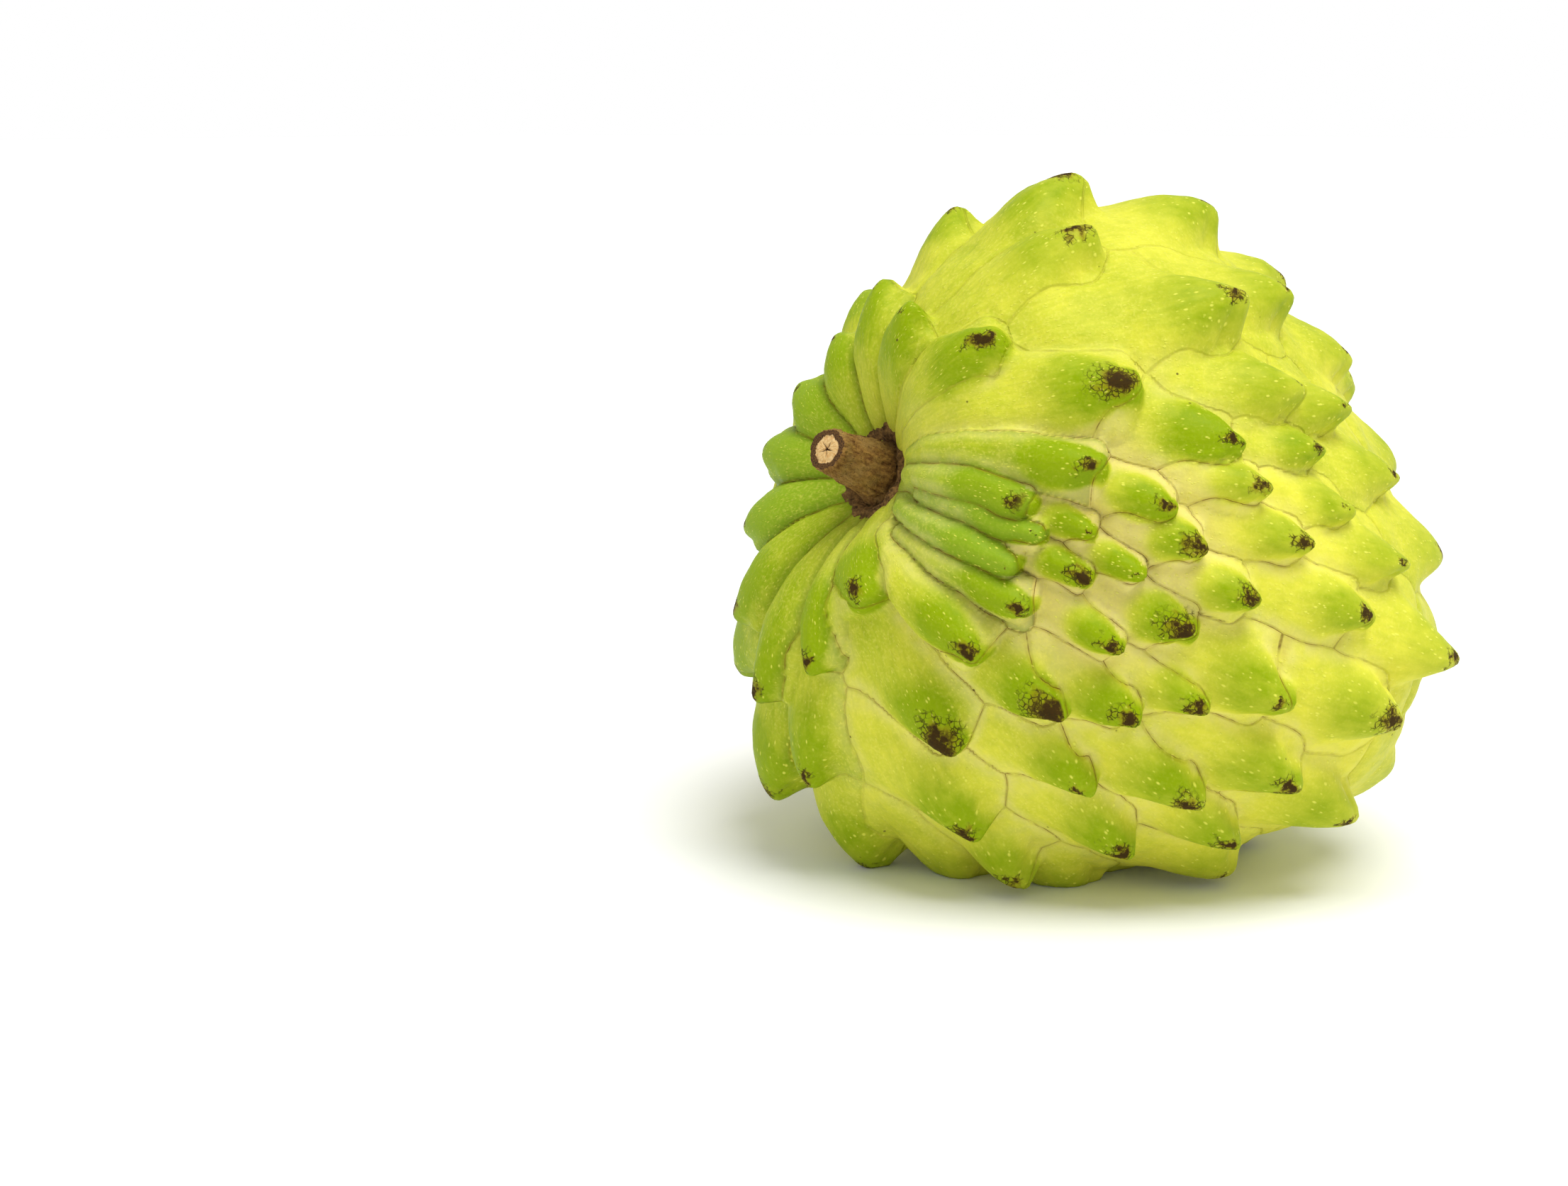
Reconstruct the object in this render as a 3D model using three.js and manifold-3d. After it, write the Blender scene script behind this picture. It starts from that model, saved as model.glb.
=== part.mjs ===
// Custard apple lying on its side: one solid fruit and the woody stub of its stem.
// Millimetres, +Z up. The origin is on the resting spot, straight below the middle of the fruit.
// The stem end points to -Y and a little up. Around it, directions are told as on a clock face
// seen from the stem end, with 12 o'clock up: the clock angle runs clockwise in degrees, and the
// polar angle runs from the stem (0) over the widest girth (90) to the blossom end (180).
import * as THREE from "three";
import { mergeVertices } from "three/addons/utils/BufferGeometryUtils.js";
import Module from "manifold-3d";

// ---- driving dimensions ----
const GIRTH_RADIUS = 45.6; // mean radius of the fruit without its swellings
const MIDDLE_HEIGHT = 48.6; // middle of the fruit above the surface that it rests on
const STEM_ELEVATION = 19; // the fruit's axis above the horizontal, at the stem end
const STUB_LENGTH = 13; // from inside the collar to the cut end
const STUB_FOOT = 37; // from the middle of the fruit to the start of the stub
const STUB_LEAN = 16; // the stub leans out of the axis by this much
const STUB_LEAN_CLOCK = 75;
const CUT_RADIUS = 3.25; // of the stub at its cut end
const FOOT_RADIUS = 5;
const COLLAR_RADIUS = 7.2; // corky collar where the stem meets the fruit
const COLLAR_HEIGHT = 2.8;
const SOCKET_FLOOR = 35; // from the middle of the fruit to the floor of the pit, under the collar
const CLEARANCE = 0.3; // between the stem and the fruit that holds it
const SKIN_STEPS = 32; // steps along each edge of the cube that is blown up to the skin
const FINER_AT_STEM = 0.3; // how far the steps are drawn towards the stem, where the skin is finest

// ---- shape of the body: swellings and hollows on the mean radius ----
// clock, polar and reach in degrees, height in mm
const SWELLINGS = [
  { name: "stem pit", clock: 0, polar: 0, reach: 17, height: -10.5 },
  { name: "upper shoulder", clock: 15, polar: 55, reach: 32, height: 5 },
  { name: "left hollow", clock: 330, polar: 40, reach: 22, height: -2 },
  { name: "upper back", clock: 50, polar: 110, reach: 30, height: -3.5 },
  { name: "lower shoulder", clock: 190, polar: 58, reach: 30, height: 8.5 },
  { name: "belly", clock: 160, polar: 92, reach: 30, height: 3.2 },
  { name: "right cheek", clock: 110, polar: 126, reach: 36, height: 10.5 },
  { name: "valley", clock: 95, polar: 40, reach: 22, height: -2 },
  { name: "left cheek", clock: 235, polar: 75, reach: 30, height: 4.5 },
  { name: "resting spot", clock: 180, polar: 109, reach: 16, height: 2.2 },
];

// ---- carpels: the scales of the skin, each a core from its start to its tip ----
// tip clock, tip polar, length, half width (degrees), rise of the tip (mm), clock of the start
const FINGERS = [
  // they start in the pit, close around the stem
  [78, 53, 35.5, 5.2, 1.8, 73],
  [88, 43, 26.5, 4.2, 1.4, 85],
  [94, 47, 25, 3.0, 1.2, 94],
  [102, 44.5, 26.5, 3.8, 1.4, 107],
  [109, 50, 28, 3.6, 1.4, 116],
  [124, 46.5, 28, 5.0, 1.8, 125],
  [141, 26, 13, 7.4, 1.8, 141],
  [167, 34, 20, 4.3, 2.0, 163],
  [190, 40, 26, 5.0, 2.5, 184],
  [216, 36, 22, 5.0, 2.0, 210],
  [240, 31, 19, 5.2, 1.4, 238],
  [268, 29, 17, 5.0, 1.3, 268],
  [293, 27, 15, 5.2, 1.3, 293],
  [319, 28, 16, 5.4, 1.5, 319],
  [346, 32, 20, 5.4, 2.2, 346],
  [17, 27, 15, 5.5, 3.0, 15],
  [47, 36, 24, 7.0, 3.0, 42],
  [61, 56, 41, 7.2, 2.8, 58],
];
const SCALES = [
  // the upper lobe, with the longest beaks
  [346, 51, 14, 7.0, 5.0, 346],
  [9, 61, 24, 7.5, 5.5, 9],
  [350, 70, 16, 7.0, 5.0, 350],
  [27, 55, 20, 7.0, 4.0, 25],
  [13, 85, 20, 8.0, 5.5, 13],
  [43, 75.5, 26, 8.5, 6.0, 43],
  [34, 91, 16, 7.0, 5.0, 34],
  [68, 74.5, 18, 6.5, 3.4, 66],
  [56, 86.5, 16, 7.0, 4.8, 56],
  [65, 92.5, 12, 5.0, 3.2, 65],
  [55, 99.5, 14, 6.0, 4.8, 55],
  [62, 115.5, 16, 6.0, 3.8, 62],
  // the small scales of the valley, which grew least
  [90, 54.5, 12, 3.2, 1.8, 88],
  [99, 56.5, 12, 3.5, 1.8, 98],
  [94, 64, 10, 3.2, 1.6, 93],
  [82, 65.5, 14, 4.0, 2.2, 79],
  [87, 72, 11, 4.2, 2.2, 86],
  [75, 80.5, 12, 4.3, 2.5, 75],
  [82, 89.5, 14, 4.8, 3.0, 81],
  [74, 99.5, 13, 5.0, 2.5, 74],
  [108, 65, 12, 3.8, 2.0, 106],
  [101, 74.5, 13, 4.8, 2.6, 100],
  [93, 82, 11, 4.3, 2.4, 92],
  // the right cheek
  [90, 103.5, 17, 5.2, 3.1, 90],
  [80, 111, 14, 5.0, 3.4, 80],
  [111, 81.5, 12, 4.5, 3.1, 112],
  [106, 92, 16, 6.5, 3.8, 104],
  [104, 112, 18, 6.5, 4.3, 104],
  [118, 72.5, 14, 5.3, 3.4, 119],
  [124, 62.5, 17, 5.5, 3.4, 127],
  [92, 122, 16, 6.5, 6.0, 92],
  [118, 101, 17, 6.5, 4.1, 118],
  [122, 114.5, 14, 6.5, 5.4, 122],
  // the lower shoulder and the belly
  [144, 53.5, 27, 6.5, 3.4, 152],
  [133, 74, 14, 5.5, 4.0, 136],
  [126, 88.5, 16, 6.2, 4.6, 127],
  [140, 86, 13, 5.3, 5.0, 141],
  [131, 99.5, 12, 5.5, 4.6, 131],
  [154, 67.5, 19, 6.5, 4.6, 159],
  [178, 51.5, 17, 5.5, 4.2, 176],
  [195, 58, 18, 6.5, 6.0, 195],
  [222, 54, 18, 6.5, 4.8, 222],
  [183, 72, 18, 7.0, 6.0, 183],
  [158, 81, 12, 6.0, 5.4, 159],
  [144, 110, 14, 6.5, 3.8, 144],
];
// The rest of the skin is filled by a spiral of scales, one each golden angle.
const SPIRAL_COUNT = 118;
const GOLDEN_ANGLE = 137.508;
const SPIRAL_ROOM = 14.5; // degrees that a spiral scale's tip keeps from every tip listed above
const SPIRAL_FROM = 40; // degrees of polar angle; nearer to the stem there are only fingers
const SPIRAL_SCALE = { length: 16, halfWidth: 7, rise: 4 };
const BARE_PIT = 8.5; // half width in degrees of the bare place around the stem
const FINGER_NECK = 0.42; // width of a core at its start, as a share of its widest
const SCALE_NECK = 0.75;
const FINGER_PILLOW = 0.6; // mm that the skin swells between its seams
const SCALE_PILLOW = 0.9;
const ROOT_HEIGHT = 0.4; // height of a finger at its root, as a share of the rest
const FINGER_ROUND = 3.7; // mm that a finger stands out, rounded across like a sausage
const BROAD_FINGER_ROUND = 2.3; // the same for the broad fingers outside the valley
const SQUEEZED = [70, 130]; // clock angles between which the fingers are the slim, squeezed ones
const SMALL_SCALE_ROUND = 1.5; // the same for the small scales between the fingers and the cheek
const SMALL_SCALE = 4.4; // degrees of half width, up to which a scale is a small one
const TIP_CROWDING = 2.2; // how much sooner a carpel gives way past its tip than at its sides
const BEAK_SPREAD = 1.25; // half width of a beak at its root, in half widths of its carpel
const BEAK_TAPER = 0.5; // the same at its tip, as a share of the root's
const BEAK_FRONT = 0.75; // length of its steep front, in half widths of its carpel
const BEAK_LENGTH = { share: 0.95, least: 11, most: 18 }; // of the core, and in degrees
const HOOK = 0.3; // how far a tip leans towards the blossom end, as a share of its rise

// ---- directions ----
const radians = THREE.MathUtils.degToRad;
const STEM_AXIS = new THREE.Vector3(0, -Math.cos(radians(STEM_ELEVATION)), Math.sin(radians(STEM_ELEVATION)));
const TWELVE = new THREE.Vector3(0, Math.sin(radians(STEM_ELEVATION)), Math.cos(radians(STEM_ELEVATION)));
const THREE_OCLOCK = new THREE.Vector3(1, 0, 0);

function direction(clock, polar) {
  const [c, p] = [radians(clock), radians(polar)];
  return new THREE.Vector3()
    .addScaledVector(STEM_AXIS, Math.cos(p))
    .addScaledVector(TWELVE, Math.sin(p) * Math.cos(c))
    .addScaledVector(THREE_OCLOCK, Math.sin(p) * Math.sin(c));
}

// ---- the smooth body ----
const swellings = SWELLINGS.map((s) => ({
  towards: direction(s.clock, s.polar),
  tightness: 1 / (1 - Math.cos(radians(s.reach))),
  height: s.height,
}));

function bodyRadius(d) {
  let radius = GIRTH_RADIUS;
  for (const s of swellings) radius += s.height * Math.exp((d.dot(s.towards) - 1) * s.tightness);
  return radius;
}

// ---- the carpels ----
function carpel([clock, polar, length, halfWidth, rise, startClock], look) {
  const start = direction(startClock, polar - length);
  const tip = direction(clock, polar);
  const { share, least, most } = BEAK_LENGTH;
  return {
    start,
    tip,
    ahead: tip.clone().sub(start).normalize(),
    width: radians(halfWidth),
    rise,
    beakLength: radians(THREE.MathUtils.clamp(length * share, least, most)),
    ...look,
  };
}

function finger(row) {
  const squeezed = row[0] > SQUEEZED[0] && row[0] < SQUEEZED[1];
  const round = squeezed ? FINGER_ROUND : BROAD_FINGER_ROUND;
  return carpel(row, { neck: FINGER_NECK, pillow: FINGER_PILLOW, round });
}

function scale(row) {
  const round = row[3] < SMALL_SCALE ? SMALL_SCALE_ROUND : 0;
  return carpel(row, { neck: SCALE_NECK, pillow: SCALE_PILLOW, round });
}

function spiralScales(placed) {
  const found = [];
  for (let k = 0; k < SPIRAL_COUNT; k++) {
    const polar = THREE.MathUtils.radToDeg(Math.acos(1 - (2 * (k + 0.5)) / SPIRAL_COUNT));
    const clock = (k * GOLDEN_ANGLE) % 360;
    const { length, halfWidth, rise } = SPIRAL_SCALE;
    const next = scale([clock, polar, length, halfWidth, rise, clock]);
    const nearest = Math.min(...placed.map((c) => c.tip.angleTo(next.tip)));
    if (polar > SPIRAL_FROM && nearest > radians(SPIRAL_ROOM)) found.push(next);
  }
  return found;
}

const placed = [...FINGERS.map(finger), ...SCALES.map(scale)];
const pit = carpel([0, 0, 0, BARE_PIT, 0, 0], { neck: SCALE_NECK, pillow: 0, round: 0 });
const carpels = [pit, ...placed, ...spiralScales(placed)];

// How far direction d is from a carpel's core, and how wide the carpel is there, in radians.
function beside(d, c) {
  const core = c.tip.clone().sub(c.start);
  const along = THREE.MathUtils.clamp(d.clone().sub(c.start).dot(core) / (core.lengthSq() || 1), 0, 1);
  const fromCore = d.distanceTo(c.start.clone().addScaledVector(core, along).normalize());
  const past = Math.max(0, d.clone().sub(c.tip).dot(c.ahead));
  const away = Math.hypot(fromCore, past * Math.sqrt(TIP_CROWDING ** 2 - 1));
  const width = c.width * THREE.MathUtils.lerp(c.neck, 1, Math.min(1, along * 1.6));
  return { along, away, width };
}

// A finger is rounded across its core and at its ends, and lower at its root.
function roundness({ along, away, width }) {
  const edge = Math.min(1, away / (width * 1.18));
  return (1 - edge ** 2.6) ** 0.55 * THREE.MathUtils.lerp(ROOT_HEIGHT, 1, Math.min(1, along * 2.5));
}

// A beak is a ramp that climbs along the carpel to its tip and breaks off steeply behind it.
function beakAt(d, c) {
  const fromTip = d.clone().sub(c.tip);
  const past = fromTip.dot(c.ahead);
  const aside = fromTip.addScaledVector(c.ahead, -past).length();
  const ramp = Math.min(1, Math.max(0, -past) / c.beakLength);
  const drop = Math.min(1, Math.max(0, past) / (c.width * BEAK_FRONT)) ** 2;
  const climb = Math.max(0, 1 - ramp - drop);
  const widening = Math.min(1, ramp * 2.2) ** 0.6;
  const spread = THREE.MathUtils.lerp(BEAK_TAPER, 1, widening) * BEAK_SPREAD * c.width;
  const flank = 1 - Math.min(1, aside / spread) ** 2;
  return Math.sin((climb * Math.PI) / 2) ** 1.8 * flank ** 1.4;
}

// The skin belongs to the carpel whose core is nearest, and swells between the seams. The highest
// finger and beak at each place stand out of it, and the beaks lean towards the blossom end.
function skinPoint(d) {
  let [own, nearest, second] = [null, Infinity, Infinity];
  let [round, beak, rise] = [0, 0, 0];
  for (const c of carpels) {
    const place = beside(d, c);
    const outside = place.away - place.width;
    if (outside < nearest) {
      [own, nearest, second] = [c, outside, nearest];
    } else if (outside < second) second = outside;
    const here = beakAt(d, c);
    round = Math.max(round, c.round * roundness(place));
    beak = Math.max(beak, here);
    rise = Math.max(rise, c.rise * here);
  }
  const swell = Math.min(1, (second - nearest) / 2 / own.width);
  const pillow = own.pillow * Math.sqrt(1 - (1 - swell) ** 2);
  const down = d.clone().multiplyScalar(d.dot(STEM_AXIS)).sub(STEM_AXIS).normalize();
  return d
    .clone()
    .multiplyScalar(bodyRadius(d) + pillow + round + rise)
    .addScaledVector(down, rise * beak * HOOK);
}

// ---- solids ----
const wasm = await Module();
wasm.setup();

function solidOf(geometry) {
  const bare = new THREE.BufferGeometry().setAttribute("position", geometry.getAttribute("position"));
  if (geometry.index) bare.setIndex(geometry.index);
  const merged = mergeVertices(bare, 1e-4);
  return new wasm.Manifold(
    new wasm.Mesh({
      numProp: 3,
      vertProperties: merged.attributes.position.array,
      triVerts: new Uint32Array(merged.index.array),
    }),
  );
}

function geometryOf(solid) {
  const { vertProperties, triVerts } = solid.getMesh();
  return new THREE.BufferGeometry()
    .setAttribute("position", new THREE.BufferAttribute(vertProperties, 3))
    .setIndex(new THREE.BufferAttribute(triVerts, 1));
}

// A cube's surface blown up to a ball of directions, closer together near the stem, with one of
// them moved onto the tip of each carpel so that the beaks stay sharp.
function skinDirections() {
  const cube = new THREE.BoxGeometry(2, 2, 2, SKIN_STEPS, SKIN_STEPS, SKIN_STEPS);
  cube.deleteAttribute("normal");
  cube.deleteAttribute("uv");
  const ball = mergeVertices(cube, 1e-4);
  const position = ball.getAttribute("position");
  const directions = [];
  for (let i = 0; i < position.count; i++) {
    const corner = [position.getX(i), position.getY(i), position.getZ(i)];
    const even = corner.map((x) => Math.tan((x * Math.PI) / 4));
    const spread = new THREE.Vector3(...even).normalize();
    directions.push(spread.addScaledVector(STEM_AXIS, FINER_AT_STEM).normalize());
  }
  for (const c of carpels.filter((c) => c.rise > 0)) {
    const nearest = directions.reduce((best, d) => (d.distanceTo(c.tip) < best.distanceTo(c.tip) ? d : best));
    nearest.copy(c.tip);
  }
  return { ball, directions };
}

const MIDDLE = new THREE.Vector3(0, 0, MIDDLE_HEIGHT);

function fruitGeometry() {
  const { ball, directions } = skinDirections();
  const position = ball.getAttribute("position");
  directions.forEach((d, i) => {
    const p = skinPoint(d).add(MIDDLE);
    position.setXYZ(i, p.x, p.y, Math.max(0, p.z)); // its weight presses the lowest skin flat
  });
  const socket = new THREE.CylinderGeometry(COLLAR_RADIUS + CLEARANCE, COLLAR_RADIUS + CLEARANCE, 20, 32);
  socket.translate(0, SOCKET_FLOOR + 10, 0).applyQuaternion(TO_STEM_AXIS).translate(...MIDDLE);
  return geometryOf(solidOf(ball).subtract(solidOf(socket)));
}

// ---- the stem: a collar, and a stub that leans out of it and ends in a straight cut ----
const TO_STEM_AXIS = new THREE.Quaternion().setFromUnitVectors(new THREE.Vector3(0, 1, 0), STEM_AXIS);

function turned(profile) {
  return new THREE.LatheGeometry(profile.map(([radius, height]) => new THREE.Vector2(radius, height)), 32);
}

function stemGeometry() {
  const collar = turned([
    [0, 0],
    [COLLAR_RADIUS - 0.3, 0],
    [COLLAR_RADIUS, 0.5],
    [COLLAR_RADIUS, COLLAR_HEIGHT - 0.6],
    [COLLAR_RADIUS - 0.7, COLLAR_HEIGHT],
    [FOOT_RADIUS + 0.9, COLLAR_HEIGHT - 0.2],
    [FOOT_RADIUS, COLLAR_HEIGHT - 0.9], // ring groove between collar and stub
    [0, COLLAR_HEIGHT - 0.9],
  ]);
  const seat = SOCKET_FLOOR + CLEARANCE;
  collar.applyQuaternion(TO_STEM_AXIS).translate(...STEM_AXIS.clone().multiplyScalar(seat).add(MIDDLE));
  const stub = turned([
    [0, 0],
    [FOOT_RADIUS - 0.3, 0],
    [FOOT_RADIUS, STUB_LENGTH * 0.15],
    [FOOT_RADIUS - 0.4, STUB_LENGTH * 0.35],
    [CUT_RADIUS + 0.2, STUB_LENGTH * 0.75],
    [CUT_RADIUS, STUB_LENGTH - 0.3],
    [CUT_RADIUS - 0.25, STUB_LENGTH],
    [0, STUB_LENGTH],
  ]);
  const leaning = direction(STUB_LEAN_CLOCK, STUB_LEAN);
  stub.applyQuaternion(new THREE.Quaternion().setFromUnitVectors(new THREE.Vector3(0, 1, 0), leaning));
  stub.translate(...STEM_AXIS.clone().multiplyScalar(STUB_FOOT).add(MIDDLE));
  return geometryOf(solidOf(collar).add(solidOf(stub)));
}

const skinMaterial = new THREE.MeshStandardMaterial({ color: "#a8c42a", roughness: 0.5, metalness: 0 });
const woodMaterial = new THREE.MeshStandardMaterial({ color: "#7a5a34", roughness: 0.85, metalness: 0 });

const fruit = new THREE.Mesh(fruitGeometry(), skinMaterial);
fruit.name = "fruit";
const stem = new THREE.Mesh(stemGeometry(), woodMaterial);
stem.name = "stem";

const custardApple = new THREE.Group();
custardApple.add(fruit, stem);
export default custardApple;
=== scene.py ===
"""The looks of a custard apple that lies on its side: a knobbly green fruit with a woody stem stub.

Lengths are in millimetres until a mesh is finished, and in metres after that. Directions on the
fruit are told as on a clock face seen from its stem end, with 12 o'clock up: the clock angle runs
clockwise, and the polar angle runs from the stem (0) over the girth (90) to the blossom end (180).
"""

import math

import bpy
import numpy as np
from mathutils import Matrix, Vector, noise


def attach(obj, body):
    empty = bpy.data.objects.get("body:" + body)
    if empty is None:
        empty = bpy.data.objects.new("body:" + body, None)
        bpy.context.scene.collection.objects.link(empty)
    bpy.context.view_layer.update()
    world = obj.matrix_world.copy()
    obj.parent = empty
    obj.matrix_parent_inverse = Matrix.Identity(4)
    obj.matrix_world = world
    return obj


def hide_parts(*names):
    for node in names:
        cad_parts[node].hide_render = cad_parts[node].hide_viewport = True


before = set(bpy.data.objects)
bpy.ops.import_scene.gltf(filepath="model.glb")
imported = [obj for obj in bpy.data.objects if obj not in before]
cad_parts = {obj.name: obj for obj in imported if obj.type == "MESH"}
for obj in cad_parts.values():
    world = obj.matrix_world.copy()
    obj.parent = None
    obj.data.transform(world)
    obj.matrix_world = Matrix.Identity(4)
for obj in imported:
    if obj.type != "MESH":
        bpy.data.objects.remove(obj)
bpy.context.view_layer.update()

MM = 0.001
FAR = 9.0  # further than any two places on a ball of radius 1

# ---- the fruit's shape, as in the construction ----
GIRTH_RADIUS = 45.6  # mean radius without the swellings
MIDDLE = Vector((0, 0, 48.6))  # middle of the fruit above the resting spot
STEM_ELEVATION = 19.0  # the fruit's axis above the horizontal, at the stem end
SKIN_STEPS = 128  # steps along each edge of the cube that is blown up to the skin

# name, clock, polar and reach in degrees, height in mm
SWELLINGS = [
    ("stem pit", 0, 0, 17, -10.5),
    ("upper shoulder", 15, 55, 32, 5.0),
    ("left hollow", 330, 40, 22, -2.0),
    ("upper back", 50, 110, 30, -3.5),
    ("lower shoulder", 190, 58, 30, 8.5),
    ("belly", 160, 92, 30, 3.2),
    ("right cheek", 110, 126, 36, 10.5),
    ("valley", 95, 40, 22, -2.0),
    ("left cheek", 235, 75, 30, 4.5),
    ("resting spot", 180, 109, 16, 2.2),
]

# Carpels, the scales of the skin: each has a core from its start to its tip, with a beak there.
# tip clock, tip polar, length, half width (degrees), rise of the beak (mm), clock of the start,
# radius of the scorch on the beak (mm), greenness from 0 (pale) to 1 (deep)
FINGERS = [
    # they start in the pit, close around the stem
    (78, 53, 35.5, 5.2, 1.8, 73, 1.5, 0.75),
    (88, 43, 26.5, 4.2, 1.4, 85, 1.3, 0.85),
    (94, 47, 25, 3.0, 1.2, 94, 0.3, 1.0),
    (102, 44.5, 26.5, 3.8, 1.4, 107, 0.3, 1.0),
    (109, 50, 28, 3.6, 1.4, 116, 1.4, 0.8),
    (124, 46.5, 28, 5.0, 1.8, 125, 1.9, 0.65),
    (141, 26, 13, 7.4, 1.8, 141, 1.5, 0.7),
    (167, 34, 20, 4.3, 2.0, 163, 1.3, 0.75),
    # the fingers from clock 190 to 319 face the lower left and left: their greenness is partly
    # their own and partly painted shade, raised in place of the shadow that a fruit lying beside
    # this one would throw
    (190, 40, 26, 5.0, 2.5, 184, 1.6, 0.75),
    (216, 36, 22, 5.0, 2.0, 210, 1.4, 0.8),
    (240, 31, 19, 5.2, 1.4, 238, 0.6, 1.0),
    (268, 29, 17, 5.0, 1.3, 268, 0.6, 1.0),
    (293, 27, 15, 5.2, 1.3, 293, 0.8, 0.9),
    (319, 28, 16, 5.4, 1.5, 319, 0.8, 0.8),
    (346, 32, 20, 5.4, 2.2, 346, 0.6, 0.7),
    (17, 27, 15, 5.5, 3.0, 15, 0.5, 0.65),
    (47, 36, 24, 7.0, 3.0, 42, 1.5, 0.5),
    (61, 56, 41, 7.2, 2.8, 58, 2.6, 0.45),
]
SCALES = [
    # the upper lobe, with the longest beaks
    (346, 51, 14, 7.0, 5.0, 346, 1.0, 0.48),
    (9, 61, 24, 7.5, 5.5, 9, 1.5, 0.43),
    (350, 70, 16, 7.0, 5.0, 350, 1.2, 0.43),
    (27, 55, 20, 7.0, 4.0, 25, 1.7, 0.38),
    (13, 85, 20, 8.0, 5.5, 13, 1.0, 0.38),
    (43, 75.5, 26, 8.5, 6.0, 43, 1.4, 0.38),
    (34, 91, 16, 7.0, 5.0, 34, 0.8, 0.38),
    (68, 74.5, 18, 6.5, 3.4, 66, 1.3, 0.48),
    (56, 86.5, 16, 7.0, 4.8, 56, 0.6, 0.38),
    (65, 92.5, 12, 5.0, 3.2, 65, 0.9, 0.38),
    (55, 99.5, 14, 6.0, 4.8, 55, 0.6, 0.38),
    (62, 115.5, 16, 6.0, 3.8, 62, 1.0, 0.33),
    # the small scales of the valley, which grew least
    (90, 54.5, 12, 3.2, 1.8, 88, 0.5, 0.55),
    (99, 56.5, 12, 3.5, 1.8, 98, 1.8, 0.6),
    (94, 64, 10, 3.2, 1.6, 93, 0.3, 0.4),
    (82, 65.5, 14, 4.0, 2.2, 79, 1.2, 0.35),
    (87, 72, 11, 4.2, 2.2, 86, 2.0, 0.25),
    (75, 80.5, 12, 4.3, 2.5, 75, 1.3, 0.2),
    (82, 89.5, 14, 4.8, 3.0, 81, 1.6, 0.2),
    (74, 99.5, 13, 5.0, 2.5, 74, 0.4, 0.15),
    (108, 65, 12, 3.8, 2.0, 106, 1.4, 0.45),
    (101, 74.5, 13, 4.8, 2.6, 100, 2.6, 0.3),
    (93, 82, 11, 4.3, 2.4, 92, 1.6, 0.2),
    # the right cheek
    (90, 103.5, 17, 5.2, 3.1, 90, 1.3, 0.12),
    (80, 111, 14, 5.0, 3.4, 80, 0.8, 0.12),
    (111, 81.5, 12, 4.5, 3.1, 112, 1.5, 0.2),
    (106, 92, 16, 6.5, 3.8, 104, 1.0, 0.15),
    (104, 112, 18, 6.5, 4.3, 104, 2.0, 0.12),
    (118, 72.5, 14, 5.3, 3.4, 119, 1.7, 0.3),
    (124, 62.5, 17, 5.5, 3.4, 127, 3.2, 0.4),
    (92, 122, 16, 6.5, 6.0, 92, 1.4, 0.15),
    (118, 101, 17, 6.5, 4.1, 118, 1.5, 0.15),
    (122, 114.5, 14, 6.5, 5.4, 122, 1.0, 0.15),
    # the lower shoulder and the belly
    (144, 53.5, 27, 6.5, 3.4, 152, 3.0, 0.5),
    (133, 74, 14, 5.5, 4.0, 136, 0.8, 0.3),
    (126, 88.5, 16, 6.2, 4.6, 127, 1.7, 0.25),
    (140, 86, 13, 5.3, 5.0, 141, 1.5, 0.3),
    (131, 99.5, 12, 5.5, 4.6, 131, 1.4, 0.2),
    (154, 67.5, 19, 6.5, 4.6, 159, 1.6, 0.4),
    # these three face the lower left: their greenness is partly their own and partly painted shade,
    # raised in place of the shadow that a fruit lying beside this one would throw
    (178, 51.5, 17, 5.5, 4.2, 176, 1.3, 0.65),
    (195, 58, 18, 6.5, 6.0, 195, 1.5, 0.75),
    (222, 54, 18, 6.5, 4.8, 222, 1.4, 0.8),
    (183, 72, 18, 7.0, 6.0, 183, 1.3, 0.5),
    (158, 81, 12, 6.0, 5.4, 159, 1.3, 0.3),
    (144, 110, 14, 6.5, 3.8, 144, 1.0, 0.2),
]
# The rest of the skin is filled by a spiral of scales, one each golden angle.
SPIRAL_COUNT = 118
SPIRAL_FROM = 40  # degrees from the stem, up to which there are fingers only
GOLDEN_ANGLE = 137.508
SPIRAL_ROOM = 14.5  # degrees that a spiral scale's tip keeps from every tip listed above
SPIRAL_SCALE = (16, 7.0, 4.0)  # length, half width, rise
COLLAR_CELL = 8.5  # half width in degrees of the bare place in the pit, around the stem
FINGER_NECK = 0.42  # width of a core at its start, as a share of its widest
SCALE_NECK = 0.75
FINGER_PILLOW = 0.6  # mm that the skin swells between its seams
SCALE_PILLOW = 0.9
TIP_CROWDING = 2.2  # how much sooner a carpel gives way past its tip than at its sides
ROOT_HEIGHT = 0.4  # height of a finger at its root, as a share of the rest
FINGER_ROUND = 3.7  # mm that a finger stands out, rounded across like a sausage
BROAD_FINGER_ROUND = 2.3  # the same for the broad fingers outside the valley
SQUEEZED = (70, 130)  # clock angles between which the fingers are the slim, squeezed ones
SMALL_SCALE_ROUND = 1.5  # the same for the small scales between the fingers and the cheek
SMALL_SCALE = 4.4  # degrees of half width, up to which a scale is a small one
CORE_FILLS = 1.6  # a core has its full width from 1 / 1.6 of its length
FINGER_RISES = 2.5  # a finger has its full height from 1 / 2.5 of its length
FINGER_REACH = 1.18  # half widths that a finger's round section reaches out
FINGER_SECTION = (2.6, 0.55)  # powers of that section: 2 and 0.5 would be an ellipse
BEAK_WIDENS = (2.2, 0.6)  # a beak has its full width from 1 / 2.2 of its ramp, by this power
FLANK_POWER = 1.4  # above 1, the flanks of a beak run out softly into the skin
DOME_POWER = 1.8  # the same for the ramp that climbs to its tip
UNEVENNESS = 1.4  # mm from the lowest to the highest of the skin's soft dents
RESTS_ON = (-200.0, -200.0, 0.03)  # mm: no part of the skin goes below this, so it rests flat
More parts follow.
